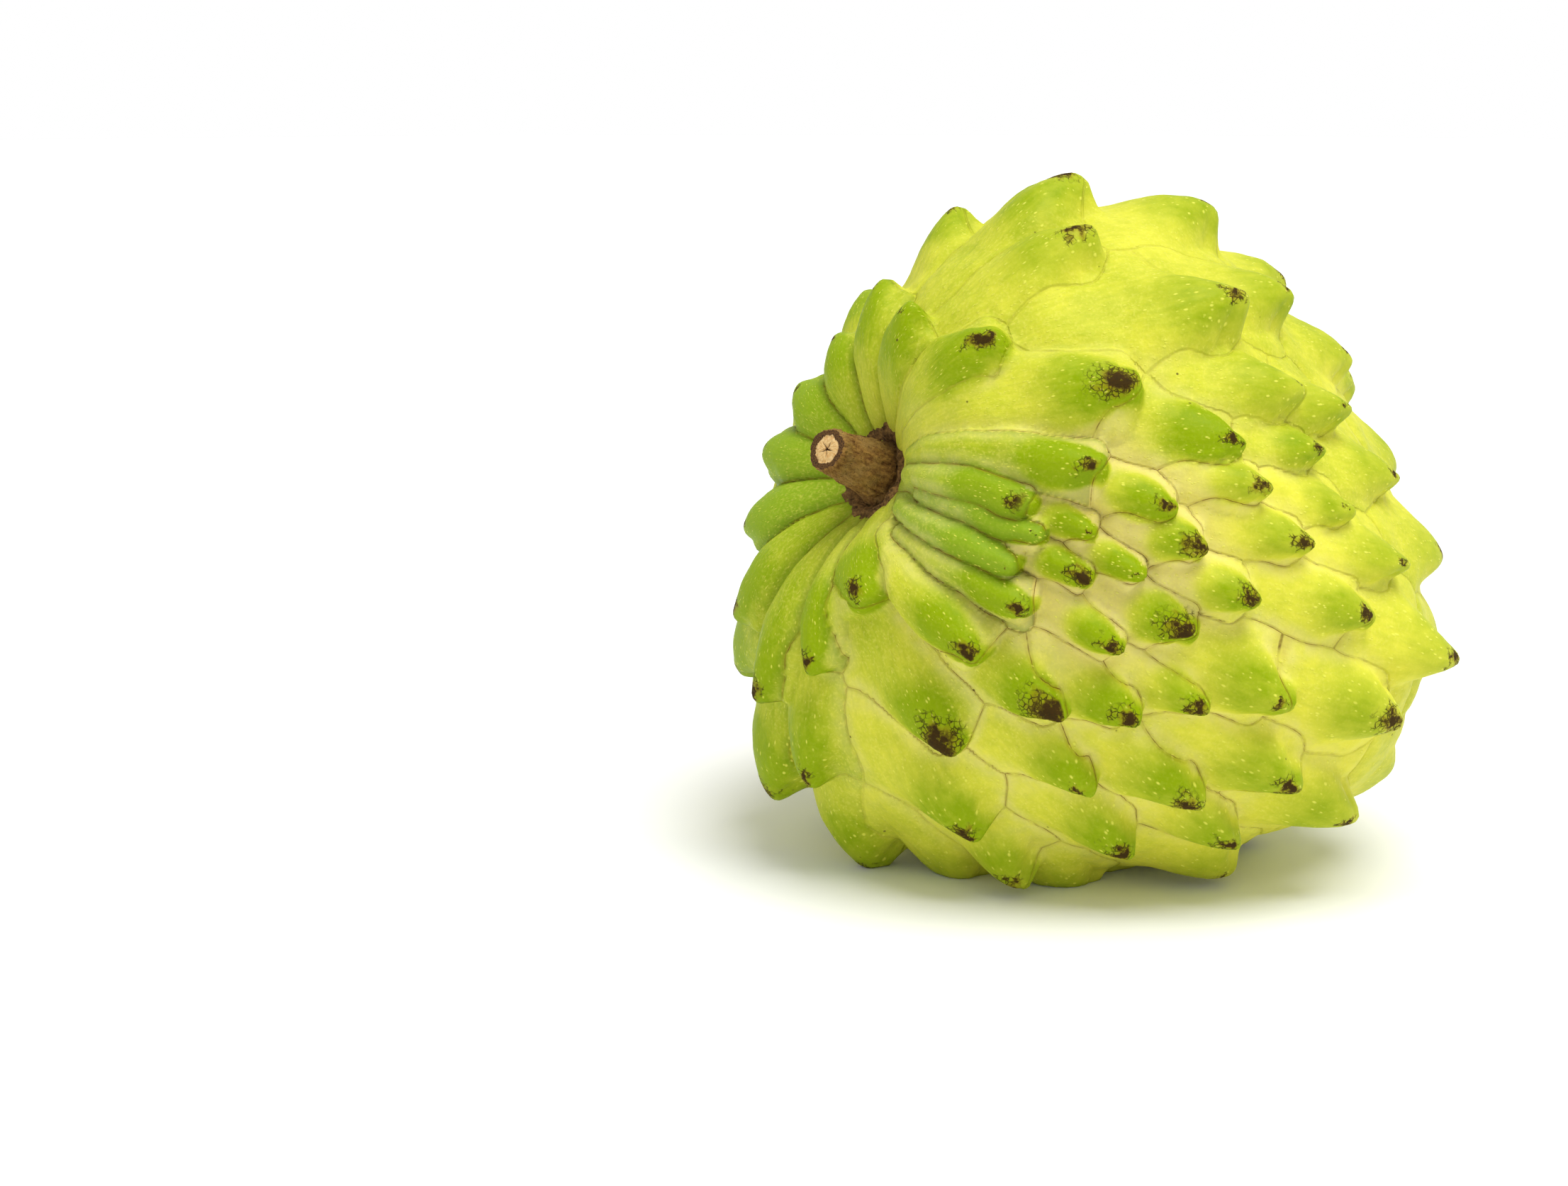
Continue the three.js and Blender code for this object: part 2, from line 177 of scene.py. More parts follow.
SKIN_SIZES = {
    "Girth radius": GIRTH_RADIUS,
    "Middle height": MIDDLE.z,
    "Beak spread": 1.25,  # half width of a beak at its root, in half widths of its carpel
    "Beak taper": 0.5,  # half width at its tip, as a share of the root's
    "Beak front": 0.75,  # length of its steep front, in half widths of its carpel
    "Hook": 0.3,  # how far a tip leans towards the blossom end, as a share of its rise
    "Waviness": 0.9,  # about how many mm the seams and beaks stray
    "Root height": ROOT_HEIGHT,
    "Steps": SKIN_STEPS,
    "Seed": 7,
}
# mm between the skin's pale flecks, across and along the meridians, and the share that is missing
FLECKS = [((0.85, 1.3), 0.15), ((0.6, 0.9), 0.5)]
BLOTCH_SIZES = (13, 2.2, 0.8, 0.45)  # mm, of the skin's colour changes from cloudy to fine

# ---- the stem, as in the construction ----
SEAT = 35.7  # underside of the collar, from the middle of the fruit
STUB_FOOT = 36.0
STUB_LENGTH = 14.0
STUB_LEAN, STUB_LEAN_CLOCK = 16.0, 75.0  # out of the fruit's axis, and to which side
CUT_RADIUS, FOOT_RADIUS = 3.25, 4.95
WOOD_SHARE = 0.64  # radius of the pale wood on the cut end, as a share of the whole
COLLAR_RADIUS = 9.0

# ---- directions ----
ELEVATION = math.radians(STEM_ELEVATION)
STEM_AXIS = Vector((0, -math.cos(ELEVATION), math.sin(ELEVATION)))
TWELVE = Vector((0, math.sin(ELEVATION), math.cos(ELEVATION)))
THREE_OCLOCK = Vector((1, 0, 0))


def direction(clock, polar):
    clock, polar = math.radians(clock), math.radians(polar)
    across = TWELVE * math.cos(clock) + THREE_OCLOCK * math.sin(clock)
    return STEM_AXIS * math.cos(polar) + across * math.sin(polar)


def srgb(text):
    """An sRGB hex colour as the linear colour that sockets take."""
    parts = [int(text[i : i + 2], 16) / 255 for i in (1, 3, 5)]
    return (*[c / 12.92 if c <= 0.04045 else ((c + 0.055) / 1.055) ** 2.4 for c in parts], 1.0)


def add(tree, kind, *inputs, output=0, **settings):
    """Adds a node and gives back its output. The kind is a name, or a dictionary with the name and
    settings. The inputs are filled in order with values or links: None leaves one as it is, and a
    dictionary fills inputs by their names."""
    if isinstance(kind, dict):
        settings = {**kind, **settings}
        kind = settings.pop("kind")
    node = tree.nodes.new(kind)
    for name, value in settings.items():
        setattr(node, name, value)
    usable = [s for s in node.inputs if s.enabled]
    pairs = []
    for place, value in enumerate(inputs):
        if isinstance(value, dict):
            pairs += [(next(s for s in usable if s.name == key), v) for key, v in value.items()]
        elif value is not None:
            pairs.append((usable[place], value))
    for socket, value in pairs:
        if isinstance(value, bpy.types.NodeSocket):
            tree.links.new(value, socket)
        else:
            socket.default_value = value
    return [s for s in node.outputs if s.enabled][output]


# kinds of node that are used again and again, with their settings
MATH, VECTOR_MATH, MIX = "ShaderNodeMath", "ShaderNodeVectorMath", "ShaderNodeMix"
PLUS = {"kind": MATH, "operation": "ADD"}
MINUS = {"kind": MATH, "operation": "SUBTRACT"}
TIMES = {"kind": MATH, "operation": "MULTIPLY"}
OVER = {"kind": MATH, "operation": "DIVIDE"}
POWER = {"kind": MATH, "operation": "POWER"}
LARGER = {"kind": MATH, "operation": "MAXIMUM"}
SMALLER = {"kind": MATH, "operation": "MINIMUM"}
V_PLUS = {"kind": VECTOR_MATH, "operation": "ADD"}
V_MINUS = {"kind": VECTOR_MATH, "operation": "SUBTRACT"}
V_TIMES = {"kind": VECTOR_MATH, "operation": "MULTIPLY"}
SCALED = {"kind": VECTOR_MATH, "operation": "SCALE"}
DOT = {"kind": VECTOR_MATH, "operation": "DOT_PRODUCT"}
UNIT = {"kind": VECTOR_MATH, "operation": "NORMALIZE"}
LENGTH = {"kind": VECTOR_MATH, "operation": "LENGTH"}
MIXED = {"kind": MIX, "data_type": "FLOAT"}
BLEND = {"kind": MIX, "data_type": "RGBA"}
RAMP = "ShaderNodeMapRange"
FADE = {"kind": RAMP, "interpolation_type": "SMOOTHSTEP"}
NOISE, CELLS = "ShaderNodeTexNoise", "ShaderNodeTexVoronoi"
JOINED, SPLIT = "ShaderNodeCombineXYZ", "ShaderNodeSeparateXYZ"
ATTRIBUTE = "ShaderNodeAttribute"
AS_VECTOR, AS_NUMBER = 1, 2  # its outputs
NAMED = {"kind": "GeometryNodeInputNamedAttribute", "data_type": "FLOAT"}
NAMED_VECTOR = {**NAMED, "data_type": "FLOAT_VECTOR"}
STORE = {"kind": "GeometryNodeStoreNamedAttribute", "data_type": "FLOAT"}
STORE_VECTOR = {**STORE, "data_type": "FLOAT_VECTOR"}
SAMPLE = {"kind": "GeometryNodeSampleIndex"}


# ---- the fruit's skin ----
def roundness(clock, half_width, is_finger):
    """How far a carpel stands out of the body, in mm."""
    if not is_finger:
        return SMALL_SCALE_ROUND if half_width < SMALL_SCALE else 0.0
    squeezed = SQUEEZED[0] < clock < SQUEEZED[1]
    return FINGER_ROUND if squeezed else BROAD_FINGER_ROUND


def carpel(row, is_finger):
    tip_clock, tip_polar, length, half_width, rise, start_clock, scorch, green = row
    return {
        "start": direction(start_clock, tip_polar - length),
        "tip": direction(tip_clock, tip_polar),
        "width": math.radians(half_width),
        "neck": FINGER_NECK if is_finger else SCALE_NECK,
        "pillow": FINGER_PILLOW if is_finger else SCALE_PILLOW,
        "round": roundness(tip_clock, half_width, is_finger),
        "rise": rise,
        "beak_length": math.radians(min(max(length * 0.95, 11), 18)),
        "scorch": scorch,
        "green": green,
    }


def spiral_scales(placed):
    found = []
    for k in range(SPIRAL_COUNT):
        polar = math.degrees(math.acos(1 - 2 * (k + 0.5) / SPIRAL_COUNT))
        clock = k * GOLDEN_ANGLE % 360
        longest, half_width, rise = SPIRAL_SCALE
        length = min(longest, polar * 0.7)
        scorch = 1.0 + k % 3 * 0.5
        green = 0.3 + 0.4 * max(0, min(1, (80 - polar) / 35))  # greener towards the stem
        scale = carpel((clock, polar, length, half_width, rise, clock, scorch, green), False)
        room = min(c["tip"].angle(scale["tip"]) for c in placed)
        if polar > SPIRAL_FROM and room > math.radians(SPIRAL_ROOM):
            found.append(scale)
    return found


def collar_cell():
    cell = carpel((0, 0, 0, COLLAR_CELL, 0, 0, 0, 0), False)
    cell["pillow"] = 0.0
    return cell


def all_carpels():
    placed = [carpel(row, True) for row in FINGERS] + [carpel(row, False) for row in SCALES]
    return [collar_cell(), *placed, *spiral_scales(placed)]


def outside_of(points, cell):
    """How far unit points lie outside a carpel's core, in radians: the rule of the seams."""
    start, tip = np.array(cell["start"]), np.array(cell["tip"])
    core = tip - start
    along = np.clip((points - start) @ core / max(core @ core, 1e-9), 0, 1)
    foot = start + along[:, None] * core
    foot /= np.linalg.norm(foot, axis=1)[:, None]
    width = cell["width"] * (cell["neck"] + (1 - cell["neck"]) * np.minimum(1, along * CORE_FILLS))
    beyond = np.maximum(0, (points - tip) @ core / max(np.linalg.norm(core), 1e-9))
    away = np.sqrt(np.sum((points - foot) ** 2, axis=1) + (TIP_CROWDING**2 - 1) * beyond**2)
    return away - width


def seam_classes(carpels):
    """Sorts the carpels into six classes so that no two that meet at a seam share one. The seam
    between two classes is then where their two distances are equal, and can be drawn sharp."""
    count = 20000
    k = np.arange(count) + 0.5
    z, turn = 1 - 2 * k / count, k * math.pi * (3 - math.sqrt(5))
    ring = np.sqrt(1 - z * z)
    points = np.stack([ring * np.cos(turn), ring * np.sin(turn), z], axis=1)
    distances = np.stack([outside_of(points, c) for c in carpels], axis=1)
    nearest = np.argsort(distances, axis=1)[:, :4]
    close = np.take_along_axis(distances, nearest, axis=1)
    near = close < close[:, :1] + 0.05
    meets = [set() for _ in carpels]
    for cells, isnear in zip(nearest.tolist(), near.tolist()):
        group = [c for c, n in zip(cells, isnear) if n]
        for c in group:
            meets[c].update(group)
    classes = {}
    for cell in sorted(range(len(carpels)), key=lambda c: (-len(meets[c]), c)):
        taken = [classes[other] for other in meets[cell] if other in classes]
        classes[cell] = min(range(6), key=lambda k: (taken.count(k), k))
    return [classes[c] for c in range(len(carpels))]


def carpel_points(carpels):
    """A mesh with a point at each carpel's tip, which carries all that the skin needs of it."""
    mesh = bpy.data.meshes.new("carpels")
    mesh.from_pydata([c["tip"] for c in carpels], [], [])
    for name in ("width", "neck", "pillow", "round", "rise", "beak_length", "scorch", "green"):
        values = mesh.attributes.new(name, "FLOAT", "POINT")
        values.data.foreach_set("value", [c[name] for c in carpels])
    vectors = {"start": [c["start"] for c in carpels]}
    classes = seam_classes(carpels)
    vectors["in_abc"] = [[float(k == j) for j in range(3)] for k in classes]
    vectors["in_def"] = [[float(k == j + 3) for j in range(3)] for k in classes]
    for name, rows in vectors.items():
        values = mesh.attributes.new(name, "FLOAT_VECTOR", "POINT")
        values.data.foreach_set("vector", [x for row in rows for x in row])
    return mesh


def skin_tree():
    """Blows a cube up to a ball, finds for each point the carpels it lies in and beside, and
    raises the skin by the body's swellings, the carpels' pillows and their beaks."""
    tree = bpy.data.node_groups.new("custard_apple_skin", "GeometryNodeTree")
    face = tree.interface
    face.new_socket("Carpels", in_out="INPUT", socket_type="NodeSocketGeometry")
    for name, value in SKIN_SIZES.items():
        kind = "NodeSocketInt" if isinstance(value, int) else "NodeSocketFloat"
        face.new_socket(name, in_out="INPUT", socket_type=kind)
    face.new_socket("Skin", in_out="OUTPUT", socket_type="NodeSocketGeometry")
    given = tree.nodes.new("NodeGroupInput").outputs

    def of_carpel(name, index, kind="FLOAT"):
        """What one carpel has under this name."""
        value = add(tree, NAMED, name, data_type=kind)
        return add(tree, SAMPLE, given["Carpels"], value, index, data_type=kind)

    def tip_of(index):
        """Where the tip of one carpel is on the ball."""
        value = add(tree, "GeometryNodeInputPosition")
        return add(tree, SAMPLE, given["Carpels"], value, index, data_type="FLOAT_VECTOR")

    # the ball
    corners = add(tree, PLUS, given["Steps"], 1.0)
    cube = add(tree, "GeometryNodeMeshCube", (2, 2, 2), corners, corners, corners)
    place = add(tree, "GeometryNodeInputPosition")
    quarter = add(tree, V_TIMES, place, (math.pi / 4,) * 3)
    even = add(tree, VECTOR_MATH, quarter, operation="TANGENT")
    unit = add(tree, UNIT, even)
    ball = add(tree, "GeometryNodeSetPosition", cube, None, unit)

    # growth is never even: each point looks up its carpel a little beside its own place
    seed = add(tree, V_PLUS, add(tree, JOINED, given["Seed"]), place)
    wave = add(tree, NOISE, seed, {"Scale": 4.0, "Detail": 2.0}, output=1)
    wave = add(tree, V_MINUS, wave, (0.5,) * 3)
    wave = add(tree, SCALED, wave, {"Scale": 0.05})
    wave = add(tree, SCALED, wave, {"Scale": given["Waviness"]})
    here = add(tree, V_PLUS, place, wave)
    here = add(tree, UNIT, here)
    state = add(tree, STORE_VECTOR, ball, None, "here", here)
    for name in ("near_abc", "near_def"):
        state = add(tree, STORE_VECTOR, state, None, name, (FAR,) * 3)
    state = add(tree, STORE, state, None, "nearest", FAR)
    for name in ("owner", "beak", "beak_rise", "body"):
        state = add(tree, STORE, state, None, name, 0.0)

    # one round of the loop for each carpel
    entry = tree.nodes.new("GeometryNodeRepeatInput")
    leave = tree.nodes.new("GeometryNodeRepeatOutput")
    entry.pair_with_output(leave)
    count = add(tree, "GeometryNodeAttributeDomainSize", given["Carpels"], component="MESH")
    tree.links.new(count, entry.inputs["Iterations"])
    tree.links.new(state, entry.inputs["Geometry"])
    turn = entry.outputs["Iteration"]
    here = add(tree, NAMED_VECTOR, "here")
    tip = tip_of(turn)
    start = of_carpel("start", turn, "FLOAT_VECTOR")
    half_width = of_carpel("width", turn)
    core = add(tree, V_MINUS, tip, start)
    from_start = add(tree, V_MINUS, here, start)
    reach = add(tree, DOT, from_start, core)
    length_2 = add(tree, DOT, core, core)
    along = add(tree, OVER, reach, length_2, use_clamp=True)
    foot = add(tree, SCALED, core, {"Scale": along})
    foot = add(tree, V_PLUS, start, foot)
    foot = add(tree, UNIT, foot)
    away = add(tree, VECTOR_MATH, here, foot, operation="DISTANCE", output=0)
    ahead = add(tree, UNIT, core)
    from_tip = add(tree, V_MINUS, here, tip)
    lengthways = add(tree, DOT, from_tip, ahead)
    beyond = add(tree, LARGER, lengthways, 0.0)
    crowded = add(tree, TIMES, beyond, (TIP_CROWDING**2 - 1) ** 0.5)
    away = add(tree, LENGTH, add(tree, JOINED, away, crowded))
    fullness = add(tree, TIMES, along, CORE_FILLS, use_clamp=True)
    taper = add(tree, MIXED, fullness, of_carpel("neck", turn), 1.0)
    width = add(tree, TIMES, half_width, taper)
    outside = add(tree, MINUS, away, width)
    # a finger is rounded across its core and at its ends
    edge = add(tree, TIMES, width, FINGER_REACH)
    edge = add(tree, OVER, away, edge, use_clamp=True)
    edge = add(tree, MINUS, 1.0, add(tree, POWER, edge, FINGER_SECTION[0]))
    edge = add(tree, POWER, edge, FINGER_SECTION[1])
    finger = add(tree, TIMES, edge, of_carpel("round", turn))
    rooted = add(tree, TIMES, along, FINGER_RISES, use_clamp=True)
    rooted = add(tree, MIXED, rooted, given["Root height"], 1.0)
    finger = add(tree, TIMES, finger, rooted)
    # the beak: a ramp that climbs along the carpel to its tip and breaks off steeply behind it
    sideways = add(tree, SCALED, ahead, {"Scale": lengthways})
    sideways = add(tree, V_MINUS, from_tip, sideways)
    sideways = add(tree, LENGTH, sideways)
    behind = add(tree, LARGER, add(tree, TIMES, lengthways, -1.0), 0.0)
    ramp = add(tree, OVER, behind, of_carpel("beak_length", turn), use_clamp=True)
    front = add(tree, TIMES, half_width, given["Beak front"])
    drop = add(tree, OVER, beyond, front, use_clamp=True)
    drop = add(tree, POWER, drop, 2.0)
    climb = add(tree, MINUS, add(tree, MINUS, 1.0, ramp), drop)
    climb = add(tree, LARGER, climb, 0.0)
    widening = add(tree, TIMES, ramp, BEAK_WIDENS[0], use_clamp=True)
    widening = add(tree, POWER, widening, BEAK_WIDENS[1])
    spread = add(tree, MIXED, widening, given["Beak taper"], 1.0)
    spread = add(tree, TIMES, spread, given["Beak spread"])
    spread = add(tree, TIMES, spread, half_width)
    flank = add(tree, OVER, sideways, spread, use_clamp=True)
    flank = add(tree, POWER, flank, 2.0)
    flank = add(tree, MINUS, 1.0, flank)
    flank = add(tree, POWER, flank, FLANK_POWER)
    climb = add(tree, TIMES, climb, math.pi / 2)
    dome = add(tree, POWER, add(tree, MATH, climb, operation="SINE"), DOME_POWER)
    beak = add(tree, TIMES, dome, flank)
    rise = add(tree, TIMES, beak, of_carpel("rise", turn))
    # what the loop keeps
    state = entry.outputs["Geometry"]
    for name in ("abc", "def"):
        belongs = of_carpel("in_" + name, turn, "FLOAT_VECTOR")
        barred = add(tree, V_TIMES, belongs, (FAR,) * 3)
        barred = add(tree, V_MINUS, (FAR,) * 3, barred)
        spaced = add(tree, V_PLUS, barred, add(tree, JOINED, outside, outside, outside))
        lowest = add(tree, NAMED_VECTOR, "near_" + name)
        lowest = add(tree, VECTOR_MATH, lowest, spaced, operation="MINIMUM")
        state = add(tree, STORE_VECTOR, state, None, "near_" + name, lowest)
    closer = add(tree, MATH, outside, add(tree, NAMED, "nearest"), operation="LESS_THAN")
    owner = add(tree, MIXED, closer, add(tree, NAMED, "owner"), turn)
    state = add(tree, STORE, state, None, "owner", owner)
    nearest = add(tree, SMALLER, outside, add(tree, NAMED, "nearest"))
    state = add(tree, STORE, state, None, "nearest", nearest)
    for name, value in (("beak", beak), ("body", finger), ("beak_rise", rise)):
        most = add(tree, LARGER, value, add(tree, NAMED, name))
        state = add(tree, STORE, state, None, name, most)
    tree.links.new(state, leave.inputs["Geometry"])
    state = leave.outputs["Geometry"]

    # distance from the nearest seam, as half of how much further the second class lies
    first, second = FAR, FAR
    for name in ("near_abc", "near_def"):
        split = add(tree, SPLIT, add(tree, NAMED_VECTOR, name))
        for value in split.node.outputs:
            later = add(tree, LARGER, first, value)
            second = add(tree, SMALLER, second, later)
            first = add(tree, SMALLER, first, value)
    seam = add(tree, TIMES, add(tree, MINUS, second, first), 0.5)
    seam = add(tree, TIMES, seam, given["Girth radius"])
    state = add(tree, STORE, state, None, "seam", seam)

    # the body's radius in each direction
    radius = given["Girth radius"]
    for _, clock, polar, reach_angle, height in SWELLINGS:
        towards = tuple(direction(clock, polar))
        cosine = add(tree, DOT, place, towards)
        tightness = 1 / (1 - math.cos(math.radians(reach_angle)))
        fall = add(tree, TIMES, add(tree, MINUS, cosine, 1.0), tightness)
        bulge = add(tree, TIMES, add(tree, MATH, fall, operation="EXPONENT"), height)
        radius = add(tree, PLUS, radius, bulge)
    index = add(tree, NAMED, "owner")
    cell_width = add(tree, TIMES, of_carpel("width", index), given["Girth radius"])
    swell = add(tree, OVER, add(tree, NAMED, "seam"), cell_width, use_clamp=True)
    dent = add(tree, POWER, add(tree, MINUS, 1.0, swell), 2.0)
    arch = add(tree, MATH, add(tree, MINUS, 1.0, dent), operation="SQRT")
    pillow = add(tree, TIMES, arch, of_carpel("pillow", index))
    radius = add(tree, PLUS, radius, pillow)
    radius = add(tree, PLUS, radius, add(tree, NAMED, "beak_rise"))
    radius = add(tree, PLUS, radius, add(tree, NAMED, "body"))
    uneven = add(tree, NOISE, seed, {"Scale": 7.0, "Detail": 3.0})
    uneven = add(tree, TIMES, add(tree, MINUS, uneven, 0.5), UNEVENNESS)
    radius = add(tree, PLUS, radius, uneven)
    moved = add(tree, SCALED, place, {"Scale": radius})
    # the beaks lean towards the blossom end
    level = add(tree, DOT, place, tuple(STEM_AXIS))
    down = add(tree, SCALED, place, {"Scale": level})
    down = add(tree, V_MINUS, down, tuple(STEM_AXIS))
    down = add(tree, UNIT, down)
    lean = add(tree, TIMES, add(tree, NAMED, "beak_rise"), add(tree, NAMED, "beak"))
    lean = add(tree, TIMES, lean, given["Hook"])
    moved = add(tree, V_PLUS, moved, add(tree, SCALED, down, {"Scale": lean}))
    middle = add(tree, JOINED, None, None, given["Middle height"])
    moved = add(tree, V_PLUS, moved, middle)
    moved = add(tree, VECTOR_MATH, moved, RESTS_ON, operation="MAXIMUM")
    moved = add(tree, SCALED, moved, {"Scale": MM})

    # what the skin's finish needs of the carpel that each point belongs to
    tip = tip_of(index)
    start = of_carpel("start", index, "FLOAT_VECTOR")
    ahead = add(tree, UNIT, add(tree, V_MINUS, tip, start))
    from_tip = add(tree, V_MINUS, add(tree, NAMED_VECTOR, "here"), tip)
    from_tip = add(tree, SCALED, from_tip, {"Scale": given["Girth radius"]})
    aside = add(tree, VECTOR_MATH, ahead, tip, operation="CROSS_PRODUCT")
    across = add(tree, DOT, from_tip, aside)
    past = add(tree, DOT, from_tip, ahead)
    place_on = add(tree, JOINED, across, past, index)
    state = add(tree, STORE_VECTOR, state, None, "from_tip", place_on)
    state = add(tree, STORE, state, None, "scorch", of_carpel("scorch", index))
    state = add(tree, STORE, state, None, "green", of_carpel("green", index))
    state = add(tree, STORE_VECTOR, state, None, "outward", place)
    state = add(tree, "GeometryNodeSetPosition", state, None, moved)
    for name in ("near_abc", "near_def"):
        in_mm = add(tree, SCALED, add(tree, NAMED_VECTOR, name), {"Scale": given["Girth radius"]})
        state = add(tree, STORE_VECTOR, state, None, name, in_mm)
    state = add(tree, "GeometryNodeSetShadeSmooth", state, None, True)
    state = add(tree, "GeometryNodeRealizeInstances", state)
    state = add(tree, "GeometryNodeSetMaterial", state, None, custard_apple_skin())
    result = tree.nodes.new("NodeGroupOutput")
    tree.links.new(state, result.inputs["Skin"])
    return tree


def custard_apple_skin():
    """Ripening custard apple skin, grown: a thin waxy cuticle over pale flesh. It gives the eye a
    soft broad sheen and a glow from inside, green on the beaks and pale yellow between them."""
    material = bpy.data.materials.new("custard_apple_skin")
    material.use_nodes = True
    tree = material.node_tree
    shader = tree.nodes["Principled BSDF"]
    place = add(tree, "ShaderNodeTexCoord", output=3)

    def facing(clock, polar):
        """Cosine of the angle between each place and this direction on the fruit."""
        towards = tuple(direction(clock, polar))
        return add(tree, DOT, outward, towards)

    # distance from the nearest seam in mm, kept sharp by comparing the six classes here
    first, second = FAR / MM, FAR / MM
    for name in ("near_abc", "near_def"):
        split = add(tree, SPLIT, add(tree, ATTRIBUTE, attribute_name=name, output=AS_VECTOR))
        for value in split.node.outputs:
            later = add(tree, LARGER, first, value)
            second = add(tree, SMALLER, second, later)
            first = add(tree, SMALLER, first, value)
    seam = add(tree, TIMES, add(tree, MINUS, second, first), 0.5)

    outward = add(tree, ATTRIBUTE, attribute_name="outward", output=AS_VECTOR)
    level = add(tree, DOT, outward, tuple(STEM_AXIS))
    blotches = [{"Scale": 1 / (size * MM), "Detail": 3.0} for size in BLOTCH_SIZES]
    cloudy, patchy, gritty, fine = [add(tree, NOISE, place, given) for given in blotches]
    beak = add(tree, ATTRIBUTE, attribute_name="beak", output=AS_NUMBER)
    green = add(tree, ATTRIBUTE, attribute_name="green", output=AS_NUMBER)
    in_valley = add(tree, FADE, facing(112, 62), 0.45, 0.88)

    meridian = add(tree, SCALED, tuple(STEM_AXIS), {"Scale": level})
    meridian = add(tree, V_MINUS, outward, meridian)
    meridian = add(tree, UNIT, meridian)

    def along_meridians(width, length):
        """Each place in steps of this width around the fruit and this length down it, in mm."""
        around = add(tree, SCALED, meridian, {"Scale": GIRTH_RADIUS / width})
        down = add(tree, MATH, level, operation="ARCCOSINE")
        down = add(tree, TIMES, down, GIRTH_RADIUS / length)
        down = add(tree, SCALED, tuple(STEM_AXIS), {"Scale": down})
        return add(tree, V_PLUS, around, down)

    # growth streaks, 0.9 mm wide and 2.2 mm long
    streaks = add(tree, NOISE, along_meridians(0.9, 2.2), {"Scale": 1.0, "Detail": 3.0})

    # ground colour: pale in the valleys, green on the beaks, deepest on the fingers by the stem
    on_beak = add(tree, FADE, beak, 0.02, 0.75)
    strength = add(tree, FADE, in_valley, 0.0, 1.0, 0.4, 0.74)
    amount = add(tree, PLUS, add(tree, TIMES, on_beak, strength), green)
    for pattern, weight in ((cloudy, 1.0), (patchy, 0.35), (streaks, 0.5)):
        amount = add(tree, PLUS, amount, add(tree, TIMES, pattern, weight))
    amount = add(tree, MINUS, amount, 0.98, use_clamp=True)
    colour = add(tree, BLEND, amount, srgb("#dedb46"), srgb("#8aa202"))
    bluish = add(tree, FADE, green, 0.72, 1.0, 0.0, 0.75)
    colour = add(tree, BLEND, bluish, colour, srgb("#86a422"))
    # the youngest skin, in the valley right of the stem, is dull and rosy
    youngest = add(tree, FADE, facing(93, 58), 0.9, 0.985, 0.0, 0.55)
    rosy = add(tree, TIMES, youngest, add(tree, FADE, beak, 0.3, 0.02))
    colour = add(tree, BLEND, rosy, colour, srgb("#dfc687"))
    # cream where the skin is stretched, beside the seams
    stretched = add(tree, TIMES, in_valley, add(tree, FADE, seam, 2.6, 0.2, 0.0, 0.5))
    stretched = add(tree, TIMES, stretched, add(tree, FADE, beak, 0.35, 0.05))
    stretched = add(tree, TIMES, stretched, add(tree, FADE, patchy, 0.3, 0.65, 0.4, 1.0))
    colour = add(tree, BLEND, stretched, colour, srgb("#e8dc8c"))
    # pale down between the beaks, in grains of half a millimetre
    low_down = add(tree, FADE, beak, 0.6, 0.0, 0.08, 0.3)
    downy = add(tree, TIMES, add(tree, FADE, fine, 0.45, 0.75), low_down)
    colour = add(tree, BLEND, downy, colour, srgb("#ede56c"))

    # painted shade: the crevices between the fingers are darkened to a deeper green, as if shade
    # fell between them
    on_finger = add(tree, FADE, green, 0.6, 0.75)
    crevice_shade = add(tree, TIMES, add(tree, FADE, seam, 1.3, 0.1, 0.0, 0.4), on_finger)
    colour = add(tree, BLEND, crevice_shade, colour, srgb("#5f7d12"))

    # pores: pale flecks 0.3 mm wide and 0.5 mm long that lie along the meridians
    pore = 0.0
    for spacing, missing in FLECKS:
        cells = add(tree, CELLS, along_meridians(*spacing), {"Scale": 1.0})
        chance = next(o for o in cells.node.outputs if o.name == "Color")
        chance = add(tree, "ShaderNodeSeparateColor", chance)
        chosen = add(tree, FADE, chance, missing, missing + 0.3)
        found = add(tree, TIMES, add(tree, FADE, cells, 0.25, 0.08), chosen)
        pore = add(tree, LARGER, pore, found)
    contrast = add(tree, FADE, beak, 0.0, 0.3, 0.45, 0.68)
    colour = add(tree, BLEND, add(tree, TIMES, pore, contrast), colour, srgb("#ebeb60"))

    # seams: a thin brown line in a soft band, plainest in the valley and between the fingers
    drawn = add(tree, LARGER, add(tree, FADE, in_valley, 0.3, 1.0), on_finger)
    worn = add(tree, TIMES, drawn, add(tree, FADE, patchy, 0.35, 0.6, 0.2, 1.0))
    band = add(tree, TIMES, add(tree, FADE, seam, 0.45, 0.0, 0.0, 0.25), worn)
    colour = add(tree, BLEND, band, colour, srgb("#b08828"))
    line = add(tree, TIMES, add(tree, FADE, seam, 0.07, 0.015, 0.0, 0.85), worn)
    colour = add(tree, BLEND, line, colour, srgb("#64420f"))
    faint = add(tree, TIMES, add(tree, FADE, seam, 0.13, 0.04), add(tree, MINUS, 1.0, drawn))
    faint = add(tree, TIMES, faint, add(tree, FADE, patchy, 0.4, 0.6, 0.05, 0.35))
    colour = add(tree, BLEND, faint, colour, srgb("#b0a63a"))

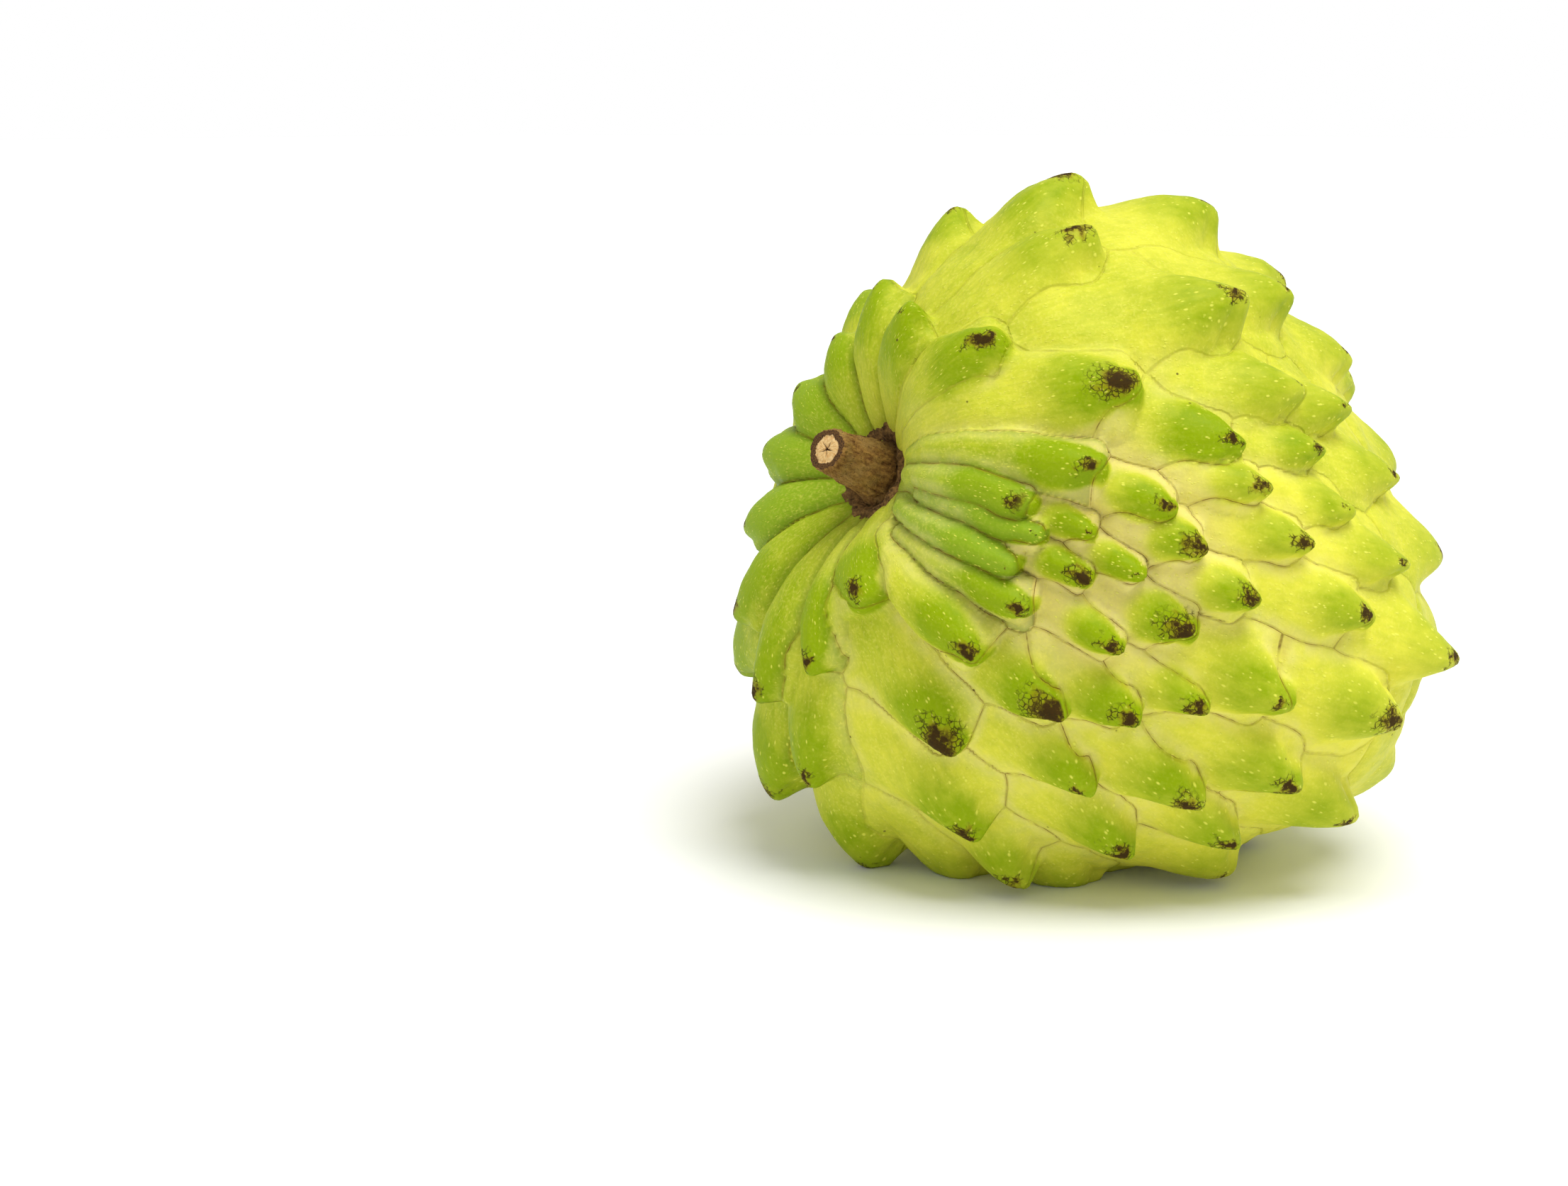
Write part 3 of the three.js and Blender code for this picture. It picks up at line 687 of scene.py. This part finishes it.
    # scorched tips: a patchy crust, cracks that run out of it, and a brown halo. The share is the
    # distance from the middle of the scorch as a share of its radius.
    scorch = add(tree, ATTRIBUTE, attribute_name="scorch", output=AS_NUMBER)
    spot = add(tree, ATTRIBUTE, attribute_name="from_tip", output=AS_VECTOR)
    spot = add(tree, V_TIMES, spot, (1.2, 0.85, 0.0))
    spot = add(tree, V_PLUS, spot, (0.0, 0.5, 0.0))
    wobble = add(tree, NOISE, place, {"Scale": 1 / (1.6 * MM), "Detail": 3.0}, output=1)
    wobble = add(tree, V_MINUS, wobble, (0.5,) * 3)
    wobble = add(tree, SCALED, wobble, {"Scale": 3.6})
    reach = add(tree, LENGTH, add(tree, V_PLUS, spot, wobble))
    share = add(tree, OVER, reach, add(tree, TIMES, scorch, 0.8))
    inside = add(tree, FADE, seam, 0.45, 0.9)
    bent = add(tree, NOISE, place, {"Scale": 1 / (0.6 * MM), "Detail": 3.0}, output=1)
    bent = add(tree, V_PLUS, place, add(tree, SCALED, bent, {"Scale": 0.6 * MM}))
    cracks = add(tree, CELLS, bent, {"Scale": 1 / (0.8 * MM)}, feature="DISTANCE_TO_EDGE")
    cracks = add(tree, TIMES, add(tree, FADE, cracks, 0.13, 0.03), add(tree, FADE, share, 1.7, 1.0))
    cracks = add(tree, TIMES, cracks, add(tree, FADE, patchy, 0.36, 0.5, 0.0, 0.9))
    crust = add(tree, FADE, share, 0.85, 0.5)
    crust = add(tree, TIMES, crust, add(tree, FADE, gritty, 0.33, 0.46, 0.1, 1.0))
    crust = add(tree, LARGER, crust, add(tree, FADE, share, 0.5, 0.25))
    crust = add(tree, TIMES, add(tree, LARGER, crust, cracks), inside)
    halo = add(tree, TIMES, add(tree, FADE, share, 1.35, 0.55, 0.0, 0.65), inside)
    colour = add(tree, BLEND, halo, colour, srgb("#84640f"))
    burnt = add(tree, BLEND, fine, srgb("#1c0f08"), srgb("#402711"))
    colour = add(tree, BLEND, add(tree, TIMES, crust, 0.94), colour, burnt)
    # a few dark specks, 0.4 mm across
    specks = add(tree, CELLS, place, {"Scale": 1 / (4.5 * MM)})
    chance = next(o for o in specks.node.outputs if o.name == "Color")
    chosen = add(tree, FADE, add(tree, "ShaderNodeSeparateColor", chance), 0.62, 0.66)
    speck = add(tree, TIMES, add(tree, FADE, specks, 0.06, 0.03, 0.0, 0.8), chosen)
    colour = add(tree, BLEND, speck, colour, srgb("#4a3a10"))
    tree.links.new(colour, shader.inputs["Base Color"])

    height = add(tree, FADE, seam, 0.0, 0.3, 0.0, 0.7)
    reliefs = ((fine, 0.2), (patchy, 0.5), (streaks, 0.5), (pore, 0.3), (crust, -0.6))
    for pattern, weight in reliefs:
        height = add(tree, PLUS, height, add(tree, TIMES, pattern, weight))
    bump = add(tree, "ShaderNodeBump", {"Strength": 0.8, "Distance": 0.28 * MM, "Height": height})
    tree.links.new(bump, shader.inputs["Normal"])
    rough = add(tree, FADE, fine, 0.3, 0.7, 0.42, 0.56)
    rough = add(tree, PLUS, rough, add(tree, TIMES, crust, 0.25))
    tree.links.new(rough, shader.inputs["Roughness"])
    shader.inputs["IOR"].default_value = 1.42
    shader.inputs["Specular IOR Level"].default_value = 0.1
    shader.inputs["Subsurface Weight"].default_value = 0.12
    shader.inputs["Subsurface Radius"].default_value = (1.0, 0.8, 0.1)
    shader.inputs["Subsurface Scale"].default_value = 0.002
    return material


def make_skin():
    carpels = all_carpels()
    base = bpy.data.objects.new("skin_rule", carpel_points(carpels))
    bpy.context.scene.collection.objects.link(base)
    modifier = base.modifiers.new("skin", "NODES")
    modifier.node_group = skin_tree()
    items = modifier.node_group.interface.items_tree
    sockets = {s.name: s.identifier for s in items if s.in_out == "INPUT"}
    for name, value in SKIN_SIZES.items():
        modifier[sockets[name]] = value
    graph = bpy.context.evaluated_depsgraph_get()
    mesh = bpy.data.meshes.new_from_object(base.evaluated_get(graph))
    base.modifiers.remove(modifier)
    bpy.data.objects.remove(base)
    mesh.name = "fruit_skin"
    piece = bpy.data.objects.new("fruit_skin", mesh)
    bpy.context.scene.collection.objects.link(piece)
    return piece


# ---- the stem ----
STUB_AXIS = direction(STUB_LEAN_CLOCK, STUB_LEAN)


def piece_of(name, points, faces, materials):
    """A smooth mesh object from points in mm, with faces as (corners, number of the material)."""
    mesh = bpy.data.meshes.new(name)
    mesh.from_pydata([Vector(p) * MM for p in points], [], [corners for corners, _ in faces])
    for material in materials:
        mesh.materials.append(material)
    mesh.polygons.foreach_set("material_index", [number for _, number in faces])
    mesh.polygons.foreach_set("use_smooth", [True] * len(faces))
    piece = bpy.data.objects.new(name, mesh)
    bpy.context.scene.collection.objects.link(piece)
    return piece


def rings_to_faces(rings, around, number_of):
    """Quads between rings of points that follow each other, and fans at both ends, which are
    single points before the first ring and after the last."""
    faces = []
    for j in range(around):
        k = (j + 1) % around
        faces.append(((0, 1 + k, 1 + j), number_of(0)))
        for i in range(rings - 1):
            low, high = 1 + i * around, 1 + (i + 1) * around
            faces.append(((low + j, low + k, high + k, high + j), number_of(i + 1)))
        last = 1 + (rings - 1) * around
        faces.append(((last + j, last + k, 1 + rings * around), number_of(rings)))
    return faces


def make_stub():
    """The woody stub: furrowed bark around it, and a straight cut across its end."""
    around, up_rings, end_rings = 132, 84, 26
    side = STUB_AXIS.orthogonal().normalized()
    front = STUB_AXIS.cross(side)
    foot = MIDDLE + STEM_AXIS * STUB_FOOT
    own_places = [Vector((0, 0, 0))]  # in the stub's own frame, with its length along Z
    for i in range(up_rings):
        share = i / (up_rings - 1)
        height = share * STUB_LENGTH
        radius = FOOT_RADIUS + (CUT_RADIUS - FOOT_RADIUS) * min(1, share * 1.25) ** 0.8
        radius += 0.5 * math.exp(-height / 0.9) - 0.3 * math.exp(-(((height - 2.6) / 0.5) ** 2))
        rim = max(0, share - 0.965) / 0.035
        for j in range(around):
            turn = 2 * math.pi * j / around
            out = Vector((math.cos(turn), math.sin(turn), 0))
            furrow = noise.fractal(Vector((out.x * 4.2, out.y * 4.2, height * 0.42)), 0.9, 2.1, 4)
            warts = noise.fractal(Vector((out.x * 9, out.y * 9, height * 2.4 + 30)), 0.8, 2.2, 3)
            swollen = noise.noise(Vector((out.x * 1.2, out.y * 1.2, height * 0.16 + 9)))
            bark = radius + 0.24 * furrow + 0.14 * warts + 0.35 * swollen - 0.22 * rim**2
            own_places.append(out * bark + Vector((0, 0, height)))
    for i in range(1, end_rings):
        share = 1 - i / end_rings
        for j in range(around):
            outer = own_places[1 + (up_rings - 1) * around + j]
            turn = 2 * math.pi * j / around
            star = abs(math.sin(turn * 2.5 + 0.6)) ** 3
            crack = -0.5 * max(0, 1 - share / (0.34 * (1 - 0.75 * star)))
            lip = -0.14 * math.exp(-(((share - WOOD_SHARE) / 0.05) ** 2))
            saw = 0.05 * noise.noise(Vector((outer.x * share * 3, outer.y * share * 3, 5)))
            bulge = 0.1 * (1 - share)
            end = STUB_LENGTH + crack + lip + saw + bulge
            own_places.append(Vector((outer.x * share, outer.y * share, end)))
    own_places.append(Vector((0, 0, STUB_LENGTH - 0.4)))
    rings = up_rings + end_rings - 1
    faces = rings_to_faces(rings, around, lambda i: int(i >= up_rings))
    points = [foot + side * p.x + front * p.y + STUB_AXIS * p.z for p in own_places]
    stub = piece_of("stem_stub", points, faces, [stem_bark(), cut_wood()])
    own = stub.data.attributes.new("own_place", "FLOAT_VECTOR", "POINT")
    own.data.foreach_set("vector", [x for p in own_places for x in p])
    return stub


def make_collar():
    """The corky collar that the fruit grew around the stub's foot, crumbled and uneven."""
    around, rings = 120, 34
    side = STEM_AXIS.orthogonal().normalized()
    front = STEM_AXIS.cross(side)

    def point(turn, radius, height):
        across = side * math.cos(turn) + front * math.sin(turn)
        return MIDDLE + across * radius + STEM_AXIS * height

    points = [point(0, 0, 36.4)]
    for i in range(1, rings + 1):
        share = i / rings
        for j in range(around):
            turn = 2 * math.pi * j / around
            radius = COLLAR_RADIUS * share
            spot = Vector((radius * math.cos(turn), radius * math.sin(turn), 0))
            crumbs = noise.fractal(spot * 0.9 + Vector((0, 0, 3)), 0.7, 2.1, 5)
            lumps = noise.noise(spot * 0.35 + Vector((7, 0, 0)))
            bed = 35.1 + 0.053 * radius**2  # the pit's floor
            rim = 0.9 * math.exp(-(((radius - 6.0) / 1.1) ** 2))
            tuck = 1.6 * max(0, share - 0.8) / 0.2
            points.append(point(turn, radius, bed + 0.55 + rim + 0.4 * crumbs + 0.5 * lumps - tuck))
    for j in range(around):
        points.append(point(2 * math.pi * j / around, COLLAR_RADIUS - 0.5, 37.0))
    points.append(point(0, 0, SEAT - 0.6))
    faces = rings_to_faces(rings + 1, around, lambda i: 0)
    collar = piece_of("stem_collar", points, faces, [corky_scar()])
    collar.data.flip_normals()
    return collar


def plain_material(name, roughness):
    material = bpy.data.materials.new(name)
    material.use_nodes = True
    shader = material.node_tree.nodes["Principled BSDF"]
    shader.inputs["Roughness"].default_value = roughness
    shader.inputs["Specular IOR Level"].default_value = 0.25
    return material, material.node_tree, shader


def stem_bark():
    """Dry bark of a woody fruit stalk, grown: brown cork with lengthwise furrows and dark pores.
    It gives the eye no gloss, and a fine grain along the stub."""
    material, tree, shader = plain_material("stem_bark", 0.85)
    own = add(tree, ATTRIBUTE, attribute_name="own_place", output=AS_VECTOR)
    # furrows about 0.4 mm apart and 2 mm long
    stretched = add(tree, V_TIMES, own, (1.7, 1.7, 0.55))
    furrows = add(tree, NOISE, stretched, {"Scale": 1.0, "Detail": 5.0, "Roughness": 0.65})
    grit = add(tree, NOISE, own, {"Scale": 3.5, "Detail": 4.0, "Roughness": 0.7})
    blotches = add(tree, NOISE, own, {"Scale": 0.45, "Detail": 3.0})
    ramp = add(tree, RAMP, furrows, 0.35, 0.65)
    colour = add(tree, BLEND, ramp, srgb("#6b4417"), srgb("#b88b45"))
    worn = add(tree, RAMP, blotches, 0.45, 0.7, 0.0, 0.5)
    colour = add(tree, BLEND, worn, colour, srgb("#c4a25e"))
    pits = add(tree, RAMP, grit, 0.43, 0.34, 0.0, 0.75)
    colour = add(tree, BLEND, pits, colour, srgb("#2c1c0a"))
    # painted shade: the bark darkens towards the stub's foot, where it sits down in the pit
    height = add(tree, SPLIT, own, output=2)
    low = add(tree, RAMP, height, 5.0, 1.0, 0.0, 0.3)
    colour = add(tree, BLEND, low, colour, srgb("#4a2f10"))
    tree.links.new(colour, shader.inputs["Base Color"])
    relief = add(tree, PLUS, furrows, grit)
    bump = add(tree, "ShaderNodeBump", {"Strength": 1.0, "Distance": 0.0005, "Height": relief})
    tree.links.new(bump, shader.inputs["Normal"])
    return material


def cut_wood():
    """The cut end of the stub: pale sapwood, sawn or snipped and dried, with rays and a star-shaped
    crack in its pith, inside a ring of dark bark."""
    material, tree, shader = plain_material("cut_stem_wood", 0.8)
    own = add(tree, ATTRIBUTE, attribute_name="own_place", output=AS_VECTOR)
    flat = add(tree, V_TIMES, own, (1.0, 1.0, 0.0))
    uneven = add(tree, NOISE, own, {"Scale": 1.2, "Detail": 3.0})
    radius = add(tree, LENGTH, flat)
    edge = add(tree, TIMES, uneven, 0.9)
    edge = add(tree, MINUS, radius, edge)
    split = add(tree, SPLIT, own)
    turn = add(tree, MATH, split.node.outputs[1], split.node.outputs[0], operation="ARCTAN2")
    ray_place = add(tree, JOINED, add(tree, TIMES, turn, 5.0), radius)
    rays = add(tree, NOISE, ray_place, {"Scale": 1.4, "Detail": 3.0})
    grey = add(tree, RAMP, rays, 0.4, 0.62)
    wood = add(tree, BLEND, grey, srgb("#dcbc82"), srgb("#c79b5c"))
    star = add(tree, PLUS, add(tree, TIMES, turn, 2.5), 0.6)
    star = add(tree, MATH, add(tree, MATH, star, operation="SINE"), operation="ABSOLUTE")
    star = add(tree, MATH, star, 0.9, 0.18, operation="MULTIPLY_ADD")
    crack = add(tree, TIMES, radius, star)
    crack = add(tree, RAMP, crack, 0.32, 0.2)
    wood = add(tree, BLEND, crack, wood, srgb("#4a2f16"))
    grit = add(tree, NOISE, own, {"Scale": 5.0, "Detail": 3.0})
    grit = add(tree, RAMP, grit, 0.35, 0.65)
    bark = add(tree, BLEND, grit, srgb("#2a1709"), srgb("#6b4a20"))
    outside = add(tree, RAMP, edge, WOOD_SHARE * CUT_RADIUS - 0.55, WOOD_SHARE * CUT_RADIUS - 0.4)
    colour = add(tree, BLEND, outside, wood, bark)
    tree.links.new(colour, shader.inputs["Base Color"])
    bump = add(tree, "ShaderNodeBump", {"Strength": 0.5, "Distance": 0.0002, "Height": rays})
    tree.links.new(bump, shader.inputs["Normal"])
    return material


def corky_scar():
    """The collar's cork, grown over a wound: red-brown crumbs that take no light."""
    material, tree, shader = plain_material("corky_scar", 0.95)
    place = add(tree, "ShaderNodeTexCoord", output=3)
    crumbs = add(tree, NOISE, place, {"Scale": 1300.0, "Detail": 5.0, "Roughness": 0.7})
    lumps = add(tree, NOISE, place, {"Scale": 350.0, "Detail": 3.0})
    colour = add(tree, BLEND, add(tree, RAMP, crumbs, 0.36, 0.66), srgb("#422a10"), srgb("#ac8349"))
    dark = add(tree, RAMP, lumps, 0.6, 0.4, 0.0, 0.35)
    colour = add(tree, BLEND, dark, colour, srgb("#241408"))
    tree.links.new(colour, shader.inputs["Base Color"])
    bump = add(tree, "ShaderNodeBump", {"Strength": 1.0, "Distance": 0.0005, "Height": crumbs})
    tree.links.new(bump, shader.inputs["Normal"])
    return material


# ---- camera, floor and light ----
VIEW_AZIMUTH, VIEW_ELEVATION = 61.0, 12.0
VIEW_DISTANCE = 400.0  # camera from the middle of the fruit
LENS, SENSOR = 60.0, 36.0
FLOOR_RADIUS, FLOOR_CORNERS = 3.0, 96  # metres
ROOM_GLOW = 0.64  # light that the white room throws on the fruit
LAMP_STRENGTH = 2.6
LAMP_BREADTH = 36  # degrees across, as seen from the fruit
LAMP_FROM = (0.34, 0.06, 1.0)
# where the fruit's middle lies, right of and above the picture's centre, in shares of its width
ASIDE = (0.187, 0.038)


def make_camera():
    azimuth, elevation = math.radians(VIEW_AZIMUTH), math.radians(VIEW_ELEVATION)
    level = Vector((math.sin(azimuth), -math.cos(azimuth), 0))
    back = level * math.cos(elevation) + Vector((0, 0, math.sin(elevation)))
    right = Vector((0, 0, 1)).cross(back).normalized()
    up = back.cross(right)
    offset = [share * SENSOR / LENS * VIEW_DISTANCE for share in ASIDE]
    place = MIDDLE + back * VIEW_DISTANCE - right * offset[0] - up * offset[1]
    data = bpy.data.cameras.new("camera")
    data.lens = LENS
    data.sensor_width = SENSOR
    data.clip_start = 0.01
    camera = bpy.data.objects.new("camera", data)
    turned = Matrix((right, up, back)).transposed().to_4x4()
    camera.matrix_world = Matrix.Translation(place * MM) @ turned
    bpy.context.scene.collection.objects.link(camera)
    bpy.context.scene.camera = camera


def make_floor():
    angles = np.linspace(0, 2 * math.pi, FLOOR_CORNERS, endpoint=False)
    ring = [(FLOOR_RADIUS * math.cos(a), FLOOR_RADIUS * math.sin(a), 0) for a in angles]
    mesh = bpy.data.meshes.new("floor")
    mesh.from_pydata(ring, [], [list(range(FLOOR_CORNERS))])
    material = bpy.data.materials.new("white_paper")
    material.use_nodes = True
    shader = material.node_tree.nodes["Principled BSDF"]
    shader.inputs["Base Color"].default_value = srgb("#f4f4f2")
    shader.inputs["Roughness"].default_value = 0.9
    mesh.materials.append(material)
    floor = bpy.data.objects.new("floor", mesh)
    bpy.context.scene.collection.objects.link(floor)


def make_lights():
    """A white room seen by the camera, its softer glow on the fruit, and one broad soft lamp."""
    world = bpy.data.worlds.new("studio")
    world.use_nodes = True
    tree = world.node_tree
    seen = add(tree, "ShaderNodeLightPath")
    strength = add(tree, RAMP, seen, 0.0, 1.0, ROOM_GLOW, 1.0)
    tree.links.new(strength, tree.nodes["Background"].inputs["Strength"])
    tree.nodes["Background"].inputs["Color"].default_value = srgb("#ffffff")
    bpy.context.scene.world = world
    data = bpy.data.lights.new("softbox", "SUN")
    data.energy = LAMP_STRENGTH
    data.angle = math.radians(LAMP_BREADTH)
    lamp = bpy.data.objects.new("softbox", data)
    lamp.rotation_euler = Vector(LAMP_FROM).to_track_quat("Z", "Y").to_euler()
    bpy.context.scene.collection.objects.link(lamp)


make_camera()
make_floor()
make_lights()
bpy.context.scene.view_settings.view_transform = "Standard"

for piece, node, slot in (
    (make_skin(), "fruit", "skin"),
    (make_stub(), "stem", "stem_wood"),
    (make_collar(), "stem", "stem_wood"),
):
    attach(piece, "root")
    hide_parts(node)
